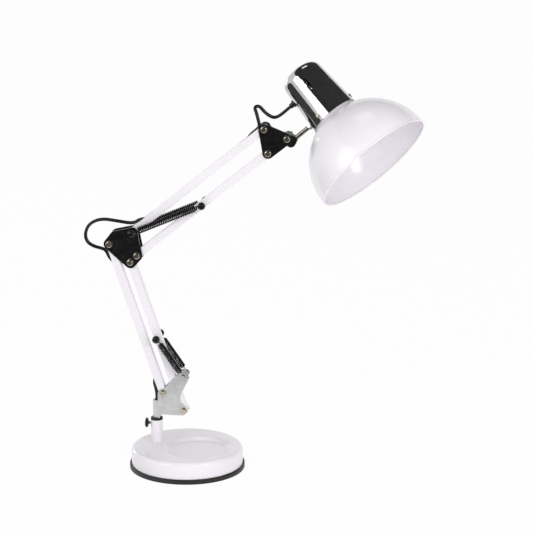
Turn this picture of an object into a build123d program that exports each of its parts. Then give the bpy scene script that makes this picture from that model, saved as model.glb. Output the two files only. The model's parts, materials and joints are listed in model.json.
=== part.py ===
"""White swing-arm desk lamp, built as it comes apart on a bench.

Millimetres, +Z up. The origin is the middle of the base's underside. The arm works in a
plane parallel to XZ through the post, so every pivot of the arm turns about Y.
"""

import math
import os

import numpy as np
from build123d import *

# Base
base_radius = 72.6
base_height = 28.0
base_wall = 1.2
base_edge = 6.0
tray_inset = 28.6
tray_slope = 8.0
tray_depth = 4.6
tray_offset = 15.0
tray_edge = 9.0
rim_thickness = 2.4
rim_height = 6.0
rim_lip = 9.0
rim_sole = 1.6
pad_gap = 0.2
plate_thickness = 1.2
weight_side_gap = 0.4
weight_top_gap = 0.3

# Post and swivel
post_inset = 28.7
post_turn = 164.3
post_radius = 7.8
post_wall = 1.6
post_height = 30.0
post_floor = 3.0
stud_radius = 5.0
stud_length = 6.7
post_nut_width = 17.0
post_nut_height = 5.0
collar_height = 3.2
collar_sleeve = 22.0
pin_radius = 3.6
pin_bore = 2.5
pin_depth = 24.0
thumb_radius = 6.3
thumb_thickness = 3.6
thumb_gap = 3.7
thumb_drop = 5.5
thumb_stud_radius = 1.75

# Arm pivots: a bracket, an elbow and a head bracket joined by two parallelograms
rear_foot = (9.0, 96.0)
foot_step = (27.4, -23.0)
lower_length = 209.8
lower_lean = 18.9
elbow_step = (31.0, 17.1)
elbow_drop = (5.2, -31.1)
upper_length = 221.7
upper_lean = 50.4
tilt_step = (29.6, -11.4)

# Bars
bar_width = 10.0
bar_wall = 1.0
bar_edge = 0.7
slot_width = 5.6
slot_near = 14.0
slot_far = 38.0

# Plates and bolts
plate_gap = 0.6
sheet = 1.2
plate = 1.5
spacer_thickness = 0.4
spacer_radius = 4.2
bolt_radius = 2.0
running = 0.05
flange_radius = 5.0
flange_height = 0.8
head_radius = 4.0
head_height = 2.4
recess_width = 1.2
recess_depth = 1.0
nut_width = 7.0
nut_height = 3.2
bolt_end = 1.0

# Elbow and head bracket lobes around their pivots
elbow_lobes = (7.2, 8.0, 7.2, 6.3)
elbow_shoulder = (8.8, 10.1)
elbow_shoulder_radius = 8.0
head_lobes = (7.2, 7.0, 7.0)
head_hollow_radius = 18.0
head_hollow_rise = 1.5

# Springs
wire_radius = 0.6
coil_radius = 3.4
eye_radius = 3.0
eye_lift = 0.1
spring_offset = 12.0
eye_neck = 5.6
coil_neck = 4.0
lower_turns = 20
upper_turns = 29
spring_pin_radius = 2.0
spring_pin_reach = 17.0
cap_radius = 5.0
cap_height = 4.6
cap_cover = 2.4
lower_pin_share = 0.494
upper_pin_place = (91.5, 40.3)
ear_pin_place = (38.0, 120.1)
ear_pin_reach = 14.2
peg_head = 1.0
peg_head_radius = 3.0

# Head
stem_angle = 41.4
stem_reach = 64.8
stem_offset = 6.6
stem_radius = 3.0
stem_grip = 9.5
stem_inside = 6.0
knuckle_gap = 0.3
knuckle_tilt_radius = 7.0
knuckle_stem_radius = 6.5
stem_nut_width = 8.0
stem_nut_height = 3.4
knob_radius = 6.4
knob_height = 6.0
knob_lobes = 6
head_turn = 19.4
cup_mouth = 32.0
cup_crown = 27.0
cup_length = 75.5
cup_below = 11.1
cup_wall = 1.2
cup_edge = 12.0
vent_count = 5
vent_first = 45.0
vent_step = 60.0
vent_length = 18.0
vent_width = 3.0
vent_middle = 47.6
shade_radius = 80.2
shade_skirt = 2.0
shade_wall = 1.0
shade_bead = 1.1
neck_gap = 0.4
neck_show = 3.0
neck_rise = 5.5
disc_height = 5.0
disc_gap = 0.2
disc_notch = 5.5
holder_radius = 19.5
holder_length = 30.0
holder_sleeve = 16.8
holder_drop = 16.0
holder_fit = 0.4
lamp_bore = 13.3
sleeve_wall = 0.9
sleeve_depth = 30.0
ring_radius = 22.0
ring_height = 6.0
screw_count = 3
screw_rise = 8.0
screw_turn = 13.0
screw_radius = 1.5
screw_head = 2.8
switch_rise = 49.0
switch_side = -105.0
switch_radius = 6.0
switch_depth = 12.0
switch_flange = 7.5
button_radius = 4.2
button_height = 4.5
button_travel = 2.0

# Lead
lead_radius = 2.2
lead_fit = 0.15
gland_radius = 5.0
gland_flange = 2.6
gland_nose = 4.4
gland_nose_radius = 3.4
gland_hub = 3.6
gland_rise = 49.0
base_gland_turn = 125.0
base_gland_height = 11.5
seat = 0.3
lead_meet = 69.0
lead_straight = 15.0
lead_below = 3.5
lead_turn_share = 0.74

# The lead's way: in a bar, (along it from its pivot, out of its middle); outside, steps from a pivot
upper_lead_out = ((28.0, 0.0), (16.0, 7.4), (6.0, 7.7))
elbow_lead_steps = (
    (8.2, 29.9),
    (-11.3, 32.0),
    (-27.3, 24.8),
    (-33.2, 10.8),
    (-30.3, -0.2),
    (-21.3, -5.5),
    (-14.3, -7.0),
)
lower_lead_in = ((7.0, 8.2), (19.0, 7.6), (30.0, 0.0))
head_lead_steps = (
    (19.9, 8.2, 17.7),
    (12.9, 6.6, 14.0),
    (5.6, 5.0, 15.0),
    (-1.0, 3.5, 20.5),
    (-4.6, 2.2, 28.1),
    (-14.0, 1.4, 27.3),
    (-12.8, 1.0, 17.5),
    (-8.6, 0.6, 8.5),
)
upper_lead_in = ((9.0, 8.6), (20.0, 7.7), (32.0, 0.0))
lower_lead_out = ((27.5, 0.0), (15.5, 7.5), (8.0, 8.6))
foot_lead_steps = ((-0.5, -4.5), (0.0, -15.0))

# Places that follow from the sizes above
tray_radius = base_radius - tray_inset
post_reach = base_radius - post_inset
gland_out = gland_flange + gland_nose
post_x = post_reach * math.cos(math.radians(post_turn))
post_y = post_reach * math.sin(math.radians(post_turn))
post_foot = base_height
post_top = base_height + post_height
collar_top = post_top + collar_height
bar_half = bar_width / 2
plate_inner = bar_half + plate_gap
plate_outer = plate_inner + plate
sheet_outer = plate_inner + sheet


def moved(place, step):
    """A place in the arm's plane, moved by a step."""
    return (place[0] + step[0], place[1] + step[1])


def along(angle, length):
    """A step of that length at an angle from +X in the arm's plane."""
    return (length * math.cos(math.radians(angle)), length * math.sin(math.radians(angle)))


rear_bottom = (post_x + rear_foot[0], rear_foot[1])
front_bottom = moved(rear_bottom, foot_step)
lower_step = along(90 + lower_lean, lower_length)
rear_top = moved(rear_bottom, lower_step)
front_top = moved(front_bottom, lower_step)
upper_top_start = moved(rear_top, elbow_step)
upper_bottom_start = moved(upper_top_start, elbow_drop)
upper_step = along(90 - upper_lean, upper_length)
upper_top_end = moved(upper_top_start, upper_step)
upper_bottom_end = moved(upper_bottom_start, upper_step)
tilt = moved(upper_top_end, tilt_step)
lower_pin = (
    front_bottom[0] + lower_pin_share * lower_step[0],
    front_bottom[1] + lower_pin_share * lower_step[1],
)
upper_pin = moved(upper_top_start, upper_pin_place)
ear_pin = (post_x + ear_pin_place[0], ear_pin_place[1])

side = Plane(origin=(0, post_y, 0), x_dir=(1, 0, 0), z_dir=(0, -1, 0))


def bar_frame(start, end):
    """X runs along a bar, Y out of its upper or rear wall, and Z towards the near side."""
    step = (end[0] - start[0], 0, end[1] - start[1])
    return Plane(origin=(start[0], post_y, start[1]), x_dir=step, z_dir=(0, -1, 0))


rear_frame = bar_frame(rear_bottom, rear_top)
top_frame = bar_frame(upper_top_start, upper_top_end)

stem_line = along(stem_angle, 1)
stem_dir = Vector(stem_line[0], 0, stem_line[1])
stem_side = Vector(-stem_line[1], 0, stem_line[0])
cup_slant = math.degrees(math.atan2(cup_mouth - cup_crown, cup_length))
tilt_point = Vector(tilt[0], post_y, tilt[1])
stem_foot = tilt_point - stem_side * stem_offset
cup_middle = stem_foot + stem_dir * stem_reach
mouth_flat = along(stem_angle - 90 + cup_slant, 1)
head_axis = Axis((0, 0, 0), stem_dir)
mouth_dir = Vector(mouth_flat[0], 0, mouth_flat[1]).rotate(head_axis, -head_turn)
stem_face = (stem_dir - mouth_dir * stem_dir.dot(mouth_dir)) * -1
head = Plane(origin=cup_middle, x_dir=stem_face, z_dir=mouth_dir * -1)
stem_frame = Plane(origin=cup_middle, x_dir=(0, -1, 0), z_dir=stem_dir * -1)
cup_bottom = -cup_below
cup_top = cup_length - cup_below


def cup_radius(height):
    """The cup's outer radius at a height in the head's own frame."""
    share = (height - cup_bottom) / cup_length
    return cup_mouth + (cup_crown - cup_mouth) * share


def slab(face, start, end):
    """A face of the arm's plane, thickened between two distances towards the near side."""
    return extrude(side.offset(start) * face, amount=end - start)


def rod(place, radius, start, end):
    return slab(Pos(*place) * Circle(radius), start, end)


def rounded_hull(places, radii):
    """The outline of a plate: the hull of a circle around each place."""
    edges = [(Pos(*p) * Circle(r)).edge() for p, r in zip(places, radii)]
    return make_hull(edges)


def upright(radius, low, high, place=(0, 0)):
    """A round solid about a vertical line, between two heights."""
    return Pos(place[0], place[1], (low + high) / 2) * Cylinder(radius, high - low)


def last_edge(solid, place):
    """The round edge of a solid that lies furthest along a plane's normal."""
    rings = solid.edges().filter_by(GeomType.CIRCLE)
    return rings.sort_by(Axis(place.origin, place.z_dir))[-1]


def save(shape, name):
    export_step(shape, f"parts/{name}.step")


def save_group(solids, name):
    save(Compound(children=list(solids)), name)


# Base


def base_shell():
    sole = rim_sole
    outer = upright(base_radius, sole, base_height)
    outer = fillet(outer.edges().group_by(Axis.Z)[-1], base_edge)
    away = math.radians(post_turn + 180)
    tray_at = (tray_offset * math.cos(away), tray_offset * math.sin(away))
    low = base_height - tray_depth
    middle = Pos(tray_at[0], tray_at[1], (base_height + low) / 2)
    tray = middle * Cone(tray_radius - tray_slope, tray_radius, tray_depth)
    under = base_height - base_wall
    lump = Pos(tray_at[0], tray_at[1], (under + low - base_wall) / 2) * Cone(
        tray_radius - tray_slope + base_wall,
        tray_radius + base_wall,
        under - low + base_wall,
    )
    outer -= tray
    rims = [
        e
        for e in outer.edges().filter_by(GeomType.CIRCLE)
        if abs(e.radius - tray_radius) < 0.01 or abs(e.radius - tray_radius + tray_slope) < 0.01
    ]
    outer = fillet(rims, tray_edge)
    inner = upright(base_radius - base_wall, sole, under)
    inner = fillet(inner.edges().group_by(Axis.Z)[-1], base_edge - base_wall)
    shell = outer - (inner - lump)
    shell -= upright(stud_radius + running, low, base_height, (post_x, post_y))
    return shell - base_gland_hole()


def base_gland_place():
    """The lead's gland in the back wall of the base: its axis points outwards."""
    turn = math.radians(base_gland_turn)
    out = Vector(math.cos(turn), math.sin(turn), 0)
    return Plane(
        origin=out * base_radius + Vector(0, 0, base_gland_height),
        x_dir=(0, 0, 1),
        z_dir=out,
    )


def base_gland_hole():
    reach = 3 * base_wall
    hole = Circle(gland_hub + running)
    return extrude(base_gland_place() * hole, amount=reach, both=True)


def gland(place, inside):
    """A bushing with a flange and a nose outside the wall and a hub through it."""
    flange = extrude(place * Circle(gland_radius), amount=gland_flange)
    flange = fillet(last_edge(flange, place), 0.8)
    nose = extrude(place * Circle(gland_nose_radius), amount=gland_out)
    hub = extrude(place * Circle(gland_hub), amount=-inside)
    bore = extrude(place * Circle(lead_radius + lead_fit), amount=gland_out)
    bore += extrude(place * Circle(lead_radius + lead_fit), amount=-inside)
    return flange + nose + hub - bore


def post_lead_points():
    """Down the swivel pin and the post, then back through the weight to the gland."""
    out = base_gland_place()
    end = out.origin + out.z_dir * (gland_out - 1)
    turn = end - out.z_dir * (lead_straight + gland_nose)
    low = base_gland_height - lead_below
    way = lead_turn_share * (turn - Vector(post_x, post_y, turn.Z))
    return [
        (post_x, post_y, lead_meet),
        (post_x, post_y, low),
        (post_x + way.X, post_y + way.Y, low),
        tuple(turn),
        tuple(end),
    ]


def base_weight():
    low = rim_sole + plate_thickness
    high = base_height - tray_depth - base_wall - weight_top_gap
    weight = upright(base_radius - base_wall - weight_side_gap, low, high)
    well = post_nut_width / math.sqrt(3) + 1
    weight -= upright(well, low, high, (post_x, post_y))
    run = base_gland_place().origin - Vector(post_x, post_y, 0)
    turn = math.degrees(math.atan2(run.Y, run.X))
    middle = (post_x + run.X / 2, post_y + run.Y / 2)
    channel = Box(math.hypot(run.X, run.Y) + 4 * gland_hub, 14 * lead_radius, high - low)
    place = Pos(middle[0], middle[1], (low + high) / 2) * Rot(0, 0, turn)
    return weight - place * channel


def rim_trim():
    outer = upright(base_radius + rim_thickness, 0, rim_height)
    outer = fillet(outer.edges().group_by(Axis.Z)[-1], rim_thickness / 2)
    wall = upright(base_radius + running, rim_sole, rim_height)
    hole = upright(base_radius + rim_thickness - rim_lip, 0, rim_sole)
    return outer - wall - hole


def base_plate():
    return upright(
        base_radius - base_wall - weight_side_gap, rim_sole, rim_sole + plate_thickness
    )


def base_pad():
    """A felt disc inside the rim's lip, level with its sole."""
    return upright(base_radius + rim_thickness - rim_lip - pad_gap, 0, rim_sole)


def post_tube():
    place = (post_x, post_y)
    tube = upright(post_radius, post_foot, post_top, place)
    tube -= upright(post_radius - post_wall, post_foot + post_floor, post_top, place)
    tube += upright(stud_radius, post_foot - stud_length, post_foot, place)
    tube -= upright(pin_bore, post_foot - stud_length, post_top, place)
    return tube - thumb_hole()


def thumb_hole():
    """The clamp screw's hole through the left wall of the post and its collar."""
    height = post_top - thumb_drop
    middle = Pos(post_x - post_radius, post_y, height)
    return middle * Rot(0, 90, 0) * Cylinder(thumb_stud_radius + running, 2 * post_radius - 2)


def post_collar():
    place = (post_x, post_y)
    collar = upright(post_radius + 0.1, post_top, collar_top, place)
    collar = fillet(collar.edges().group_by(Axis.Z)[-1], 1.0)
    inside = post_radius - post_wall - running
    collar += upright(inside, post_top - collar_sleeve, post_top, place)
    collar -= upright(pin_radius + running, post_top - collar_sleeve, collar_top, place)
    return collar - thumb_hole()


def post_nut():
    top = base_height - base_wall
    nut = extrude(RegularPolygon(post_nut_width / 2, 6, major_radius=False), post_nut_height)
    nut -= upright(stud_radius + running, 0, post_nut_height)
    return Pos(post_x, post_y, top - post_nut_height) * nut


def thumb_screw():
    """A round knob on a stud that presses on the swivel pin."""
    height = post_top - thumb_drop
    knob_start = post_x - post_radius - thumb_gap
    tip = post_x - pin_radius - 2 * running
    knob = Cylinder(thumb_radius, thumb_thickness)
    knob = fillet(knob.edges(), 1.2)
    knob_at = Pos(knob_start - thumb_thickness / 2, post_y, height) * Rot(0, 90, 0)
    stud_at = Pos((knob_start + tip) / 2, post_y, height) * Rot(0, 90, 0)
    return knob_at * knob + stud_at * Cylinder(thumb_stud_radius, tip - knob_start)


# Fasteners


def bolt(place, near, far):
    """A cross-head bolt with a washer flange: near and far are the plates' outer faces."""
    face = near + flange_height
    top = face + head_height
    shank = rod(place, bolt_radius, -far - nut_height - bolt_end, face)
    head_solid = rod(place, head_radius, face, top)
    head_solid = fillet(head_solid.faces().sort_by(Axis.Y)[0].edges(), head_height / 2)
    cross = Pos(*place) * (Rectangle(head_radius, recess_width) + Rectangle(recess_width, head_radius))
    head_solid -= slab(cross, top - recess_depth, top)
    return shank + rod(place, flange_radius, near, face) + head_solid


def nut(place, far):
    hexagon = Pos(*place) * RegularPolygon(nut_width / 2, 6, major_radius=False)
    hexagon -= Pos(*place) * Circle(bolt_radius + running / 2)
    return slab(hexagon, -far - nut_height, -far)


def spacers(place):
    """Two nylon washers, one at each side of a bar."""
    ring = Pos(*place) * (Circle(spacer_radius) - Circle(bolt_radius + running))
    middle = bar_half + plate_gap / 2
    half = spacer_thickness / 2
    return [slab(ring, s * middle - half, s * middle + half) for s in (-1, 1)]


def spring_pin(place, reach):
    return rod(place, spring_pin_radius, -reach, reach)


def ear_pegs():
    """A headed peg on the outside of each ear, so that the bar can swing between the ears."""
    pegs = []
    for s in (-1, 1):
        end = s * ear_pin_reach
        peg = rod(ear_pin, spring_pin_radius, s * plate_inner, end)
        pegs.append(peg + rod(ear_pin, peg_head_radius, end, end + s * peg_head))
    return pegs


def spring_caps(place, reach):
    """A black dome pressed on each end of a spring pin."""
    caps = []
    for s in (-1, 1):
        start = s * (reach - cap_cover)
        end = start + s * cap_height
        cap = rod(place, cap_radius, start, end)
        cap = fillet(cap.faces().sort_by(Axis.Y)[0 if s > 0 else -1].edges(), cap_height * 0.7)
        caps.append(cap - rod(place, spring_pin_radius + running, start, s * reach))
    return caps


# Bars


def bar(start, end, pins=(), slots=()):
    """A square tube with round ends about its two pivots."""
    frame = bar_frame(start, end)
    length = math.dist(start, end)
    outline = rounded_hull([(0, 0), (length, 0)], [bar_half, bar_half])
    tube = extrude(outline, amount=bar_half, both=True)
    tube = fillet(tube.faces().sort_by(Axis.Z)[-1].edges(), bar_edge)
    tube = fillet(tube.faces().sort_by(Axis.Z)[0].edges(), bar_edge)
    inside = bar_width - 2 * bar_wall
    tube -= Pos(length / 2, 0, 0) * Box(length + 2 * bar_width, inside, inside)
    for x, y in [(0, 0), (length, 0)]:
        tube -= Pos(x, y, 0) * Cylinder(bolt_radius + running, 2 * bar_width)
    for x in slots:
        middle = Pos(x, bar_half, 0) * Rot(90, 0, 0)
        slot = SlotOverall(slot_far - slot_near, slot_width)
        tube -= extrude(middle * slot, amount=2 * bar_wall, both=True)
    tube = frame * tube
    for place in pins:
        tube -= rod(place, spring_pin_radius + running, -bar_width, bar_width)
    return tube


# Plates


def swivel_bracket():
    """One sheet folded round the swivel pin into two side plates."""
    flare = plate_inner - pin_radius
    reach = 60

    def plan(radius, half):
        wide = [(0, radius), (flare + 1.4, half), (reach, half)]
        low = [(x, -y) for x, y in reversed(wide)]
        return Circle(radius) + make_face(Polyline(*wide, *low, close=True))

    inner = pin_radius + running
    fold = plan(inner + sheet, sheet_outer) - plan(inner, plate_inner)
    low = collar_top + seat
    fold = Pos(post_x, post_y, low) * extrude(fold, ear_pin[1] + 20 - low)
    return fold & slab(bracket_outline(), -bar_width, bar_width) - bracket_holes()


def bracket_outline():
    """The side view: the fold, the two pivots' corner and the ear that holds the springs."""
    pivot = 6.4
    left = post_x - pin_radius - 2 * sheet
    step_x = post_x + pin_radius + 1
    low = collar_top + seat
    sole = front_bottom[1] - pivot
    crown = rear_bottom[1] - 2 * bar_half - 1
    points = [
        (left, low),
        (step_x, low),
        (step_x + 2.5, sole),
        (front_bottom[0], sole),
        (front_bottom[0] + pivot, front_bottom[1] - 1),
        (front_bottom[0] + 2.5, front_bottom[1] + pivot),
        (front_bottom[0] - 3.6, front_bottom[1] + 11),
        (front_bottom[0] - 5.2, front_bottom[1] + 18.5),
        (ear_pin[0] + 4.6, ear_pin[1] - 5),
        (ear_pin[0] - 1, ear_pin[1] + 6),
        (ear_pin[0] - 5, ear_pin[1] + 6.2),
        (rear_bottom[0] + 1.5, rear_bottom[1] + pivot - 0.7),
        (rear_bottom[0] - 3.6, rear_bottom[1] + pivot - 2),
        (rear_bottom[0] - pivot, rear_bottom[1]),
        (rear_bottom[0] - pivot, crown),
        (left, crown),
    ]
    face = make_face(Polyline(*points, close=True))
    corners = face.vertices().filter_by(lambda v: v.X > step_x + 3)
    return fillet(corners, 1.2)


def bracket_holes():
    width = 2 * sheet_outer
    holes = [rod(p, bolt_radius + running, -width, width) for p in (rear_bottom, front_bottom)]
    holes.append(rod(ear_pin, spring_pin_radius + running, -width, width))
    return holes


def elbow_plate(near):
    places = [
        rear_top,
        moved(rear_top, elbow_shoulder),
        upper_top_start,
        upper_bottom_start,
        front_top,
    ]
    radii = [elbow_lobes[0], elbow_shoulder_radius, elbow_lobes[3], elbow_lobes[2], elbow_lobes[1]]
    return pivot_plate(places, radii, [rear_top, front_top, upper_bottom_start, upper_top_start], near)


def head_plate(near):
    """A three-cornered plate; the far one has a hollow upper edge."""
    places = [upper_top_end, upper_bottom_end, tilt]
    plate = pivot_plate(places, head_lobes, places, near)
    if near:
        return plate
    across = (tilt[0] - upper_top_end[0], tilt[1] - upper_top_end[1])
    middle = moved(upper_top_end, (across[0] / 2, across[1] / 2))
    slope = math.degrees(math.atan2(across[1], across[0]))
    hollow = moved(middle, along(slope + 90, head_hollow_radius + head_hollow_rise))
    return plate - rod(hollow, head_hollow_radius, -plate_outer - 1, -plate_inner + 1)


def pivot_plate(places, radii, holes, near):
    face = rounded_hull(places, radii)
    for p in holes:
        face -= Pos(*p) * Circle(bolt_radius + running)
    start, end = (plate_inner, plate_outer) if near else (-plate_outer, -plate_inner)
    return slab(face, start, end)


# Springs


def unit(v):
    return np.array(v, float) / np.linalg.norm(v)


def biarc(p0, t0, p1, t1):
    """Two arcs from p0 to p1 that leave along t0 and arrive along t1."""
    p0, p1 = np.array(p0, float), np.array(p1, float)
    t0, t1 = unit(t0), unit(t1)
    v = p1 - p0
    spread = 2 * (1 - t0 @ t1)
    ahead = v @ (t0 + t1)
    if spread > 1e-6:
        d = (math.sqrt(ahead * ahead + spread * (v @ v)) - ahead) / spread
    else:
        d = (v @ v) / (2 * ahead)
    middle = (p0 + d * t0 + p1 - d * t1) / 2
    turn = unit(p1 - d * t1 - p0 - d * t0)
    arcs = []
    for start, tangent, end in ((p0, t0, middle), (middle, turn, p1)):
        if np.linalg.norm(np.cross(tangent, unit(end - start))) < 1e-6:
            arcs.append(Line(tuple(start), tuple(end)))
        else:
            arcs.append(TangentArc(tuple(start), tuple(end), tangent=tuple(tangent)))
    return arcs


def eye_stations():
    """Places and directions round an end eye, from its open end to the spring's own line."""
    stations = []
    quarters = (60, 150, 240, 330)
    slope = eye_lift / (eye_radius * math.pi / 2)
    for i, angle in enumerate(quarters):
        a = math.radians(angle)
        lift = eye_lift * (len(quarters) - i)
        place = (eye_radius * math.cos(a), eye_radius * math.sin(a), lift)
        stations.append((place, (-math.sin(a), math.cos(a), -slope)))
    stations.append(((eye_neck, 0, 0), (1, 0, 0)))
    return stations


def spring(start, end, turns, side_offset, name):
    """A close coil between two pins: an eye, the turns and an eye, in one unbroken wire."""
    length = math.dist(start, end)
    first = eye_neck + coil_neck
    pitch = (length - 2 * first) / turns
    stations = eye_stations()
    rise = pitch / (2 * math.pi)
    for k in range(2 * turns + 1):
        a = math.pi * k
        place = (first + pitch * k / 2, coil_radius * math.cos(a), coil_radius * math.sin(a))
        stations.append((place, (rise, -coil_radius * math.sin(a), coil_radius * math.cos(a))))
    for place, tangent in reversed(eye_stations()):
        stations.append(((length - place[0], -place[1], -place[2]), tangent))
    edges = []
    for (p0, t0), (p1, t1) in zip(stations, stations[1:]):
        edges += biarc(p0, t0, p1, t1)
    path = Wire(edges)
    section = Plane(origin=path @ 0, z_dir=path % 0) * Circle(wire_radius)
    tube = sweep(section, path=path)
    share = tube.volume / (math.pi * wire_radius**2 * path.length)
    print(f"{name}: least gap to itself {wire_gap(edges):.2f} mm, volume share {share:.4f}")
    frame = Plane(
        origin=(start[0], post_y - side_offset, start[1]),
        x_dir=(end[0] - start[0], 0, end[1] - start[1]),
        z_dir=(0, -1, 0),
    )
    return frame * tube


def wire_gap(edges):
    """The least gap between parts of a wire that are over four wires apart along it."""
    points = []
    for e in edges:
        count = max(2, math.ceil(e.length / wire_radius))
        points += [tuple(e @ (i / count)) for i in range(count)]
    points = np.array(points)
    steps = np.linalg.norm(np.diff(points, axis=0), axis=1)
    run = np.concatenate([[0], np.cumsum(steps)])
    least = math.inf
    for i, p in enumerate(points):
        far = points[run > run[i] + 8 * wire_radius]
        if len(far):
            least = min(least, np.linalg.norm(far - p, axis=1).min())
    return least - 2 * wire_radius


# Lead


def lead(points, name):
    """A round lead along straight runs and the largest arcs that they allow."""
    points = [Vector(*p) for p in points]
    radii = []
    for a, b, c in zip(points, points[1:], points[2:]):
        turn = math.radians((b - a).get_angle(c - b))
        shorter = min((b - a).length, (c - b).length)
        radii.append(0.45 * shorter / math.tan(turn / 2))
    path = FilletPolyline(*points, radius=radii)
    section = Plane(origin=path @ 0, z_dir=path % 0) * Circle(lead_radius)
    tube = sweep(section, path=path)
    share = tube.volume / (math.pi * lead_radius**2 * path.length)
    listed = ", ".join(f"{r:.0f}" for r in radii)
    print(f"{name}: {path.length:.0f} mm, radii {listed}, volume share {share:.4f}")
    return tube


def in_bar(frame, x, y):
    return tuple(frame.from_local_coords((x, y, 0)))


lead_in = slot_far + 5
lead_out = upper_length - lead_in - 1


def elbow_loop():
    """Out of the upper top bar, round behind the elbow and into the lower rear bar."""
    inside = in_bar(top_frame, lead_in, 0)
    start = [in_bar(top_frame, x, y) for x, y in upper_lead_out]
    free = [moved(rear_top, step) for step in elbow_lead_steps]
    end = [in_bar(rear_frame, lower_length - x, y) for x, y in (*lower_lead_in, (lead_in, 0))]
    return [inside] + start + [(x, post_y, z) for x, z in free] + end


def head_loop():
    """Out of the gland on the cup, up in a fold and into the upper top bar."""
    out = head_gland_place()
    start = [tuple(out.origin + out.z_dir * d) for d in (gland_out - 1, gland_out + lead_radius)]
    free = [
        (upper_top_end[0] + x, post_y + y, upper_top_end[1] + z) for x, y, z in head_lead_steps
    ]
    end = [in_bar(top_frame, upper_length - x, y) for x, y in (*upper_lead_in, (lead_in + 1, 0))]
    return start + free + end


def foot_loop():
    """Out of the lower rear bar and down into the hollow swivel pin."""
    inside = in_bar(rear_frame, lead_in, 0)
    start = [in_bar(rear_frame, x, y) for x, y in lower_lead_out]
    free = [(post_x + x, post_y, rear_bottom[1] + z) for x, z in foot_lead_steps]
    return [inside] + start + free + [(post_x + seat / 3, post_y, lead_meet + seat)]


def straight_lead(start, end):
    step = Vector(*end) - Vector(*start)
    return extrude(Plane(origin=start, z_dir=step) * Circle(lead_radius), amount=step.length)


# Head


def head_gland_place():
    """The lead's gland on the stem side of the cup, square to its slanted wall."""
    height = cup_bottom + gland_rise
    lean = math.radians(cup_slant)
    out = Plane(
        origin=(cup_radius(height), 0, height),
        x_dir=(0, 1, 0),
        z_dir=(math.cos(lean), 0, math.sin(lean)),
    )
    return Plane(
        origin=head.from_local_coords(out.origin),
        x_dir=head.from_local_coords((0, 1, 0)) - head.origin,
        z_dir=head.from_local_coords(out.z_dir) - head.origin,
    )


def turned(points, corner=None, radius=0):
    """A profile of (radius, height) points, one corner rounded, turned about the head's axis."""
    face = make_face(Polyline(*points, close=True))
    if corner:
        spot = [v for v in face.vertices() if math.dist((v.X, v.Y), corner) < 0.01]
        face = fillet(spot, radius)
    return revolve(Plane.XZ * face, Axis.Z)


def tapered(mouth, crown, low, high, edge):
    return turned(
        [(0, low), (mouth, low), (crown, high), (0, high)],
        corner=(crown, high),
        radius=edge,
    )


def cup():
    outer = tapered(cup_mouth, cup_crown, cup_bottom, cup_top, cup_edge)
    inner = tapered(
        cup_mouth - cup_wall,
        cup_crown - cup_wall,
        cup_bottom,
        cup_top - cup_wall,
        cup_edge - cup_wall,
    )
    shell = outer - inner
    for i in range(vent_count):
        a = math.radians(vent_first + vent_step * i)
        out = Plane(
            origin=(0, 0, cup_bottom + vent_middle),
            x_dir=(0, 0, 1),
            z_dir=(math.cos(a), math.sin(a), 0),
        )
        shell -= extrude(out * SlotOverall(vent_length, vent_width), amount=2 * cup_mouth)
    for out in screw_places():
        shell -= extrude(out * Circle(screw_radius + running), amount=2 * cup_wall, both=True)
    shell -= extrude(switch_place() * Circle(switch_radius + running), amount=3 * cup_wall, both=True)
    shell = head * shell
    stem_hole = stem_frame * Circle(stem_radius + running)
    shell -= extrude(stem_hole, amount=2 * cup_mouth)
    hole = head_gland_place() * Circle(gland_hub + running)
    return shell - extrude(hole, amount=3 * cup_wall, both=True)


def screw_places():
    """Round the cup's mouth, each plane's normal pointing outwards."""
    height = cup_bottom + screw_rise
    lean = math.radians(cup_slant)
    places = []
    for i in range(screw_count):
        a = math.radians(360 * (i + 0.5) / screw_count + screw_turn)
        r = cup_radius(height)
        places.append(
            Plane(
                origin=(r * math.cos(a), r * math.sin(a), height),
                x_dir=(-math.sin(a), math.cos(a), 0),
                z_dir=(
                    math.cos(lean) * math.cos(a),
                    math.cos(lean) * math.sin(a),
                    math.sin(lean),
                ),
            )
        )
    return places


def cup_screws():
    """Small round-headed screws through the cup into the disc inside it."""
    screws = []
    for out in screw_places():
        dome = extrude(out * Circle(screw_head), amount=1.4)
        dome = fillet(last_edge(dome, out), 1.0)
        shank = extrude(out * Circle(screw_radius), amount=-4)
        screws.append(head * (dome + shank))
    return screws


def switch_place():
    a = math.radians(switch_side)
    height = cup_bottom + switch_rise
    r = cup_radius(height)
    return Plane(
        origin=(r * math.cos(a), r * math.sin(a), height),
        x_dir=(-math.sin(a), math.cos(a), 0),
        z_dir=(math.cos(a), math.sin(a), 0),
    )


def switch_body():
    out = switch_place()
    flange = extrude(out.offset(0.6) * Circle(switch_flange), amount=1.6)
    barrel = extrude(out.offset(0.6) * Circle(switch_radius), amount=-switch_depth)
    well = extrude(out.offset(-4) * Circle(button_radius + seat), amount=12)
    return head * (flange + barrel - well)


def switch_button():
    out = switch_place().offset(-4 + button_travel + seat)
    button = extrude(out * Circle(button_radius), amount=button_height)
    return head * fillet(last_edge(button, out), 1.0)


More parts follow.
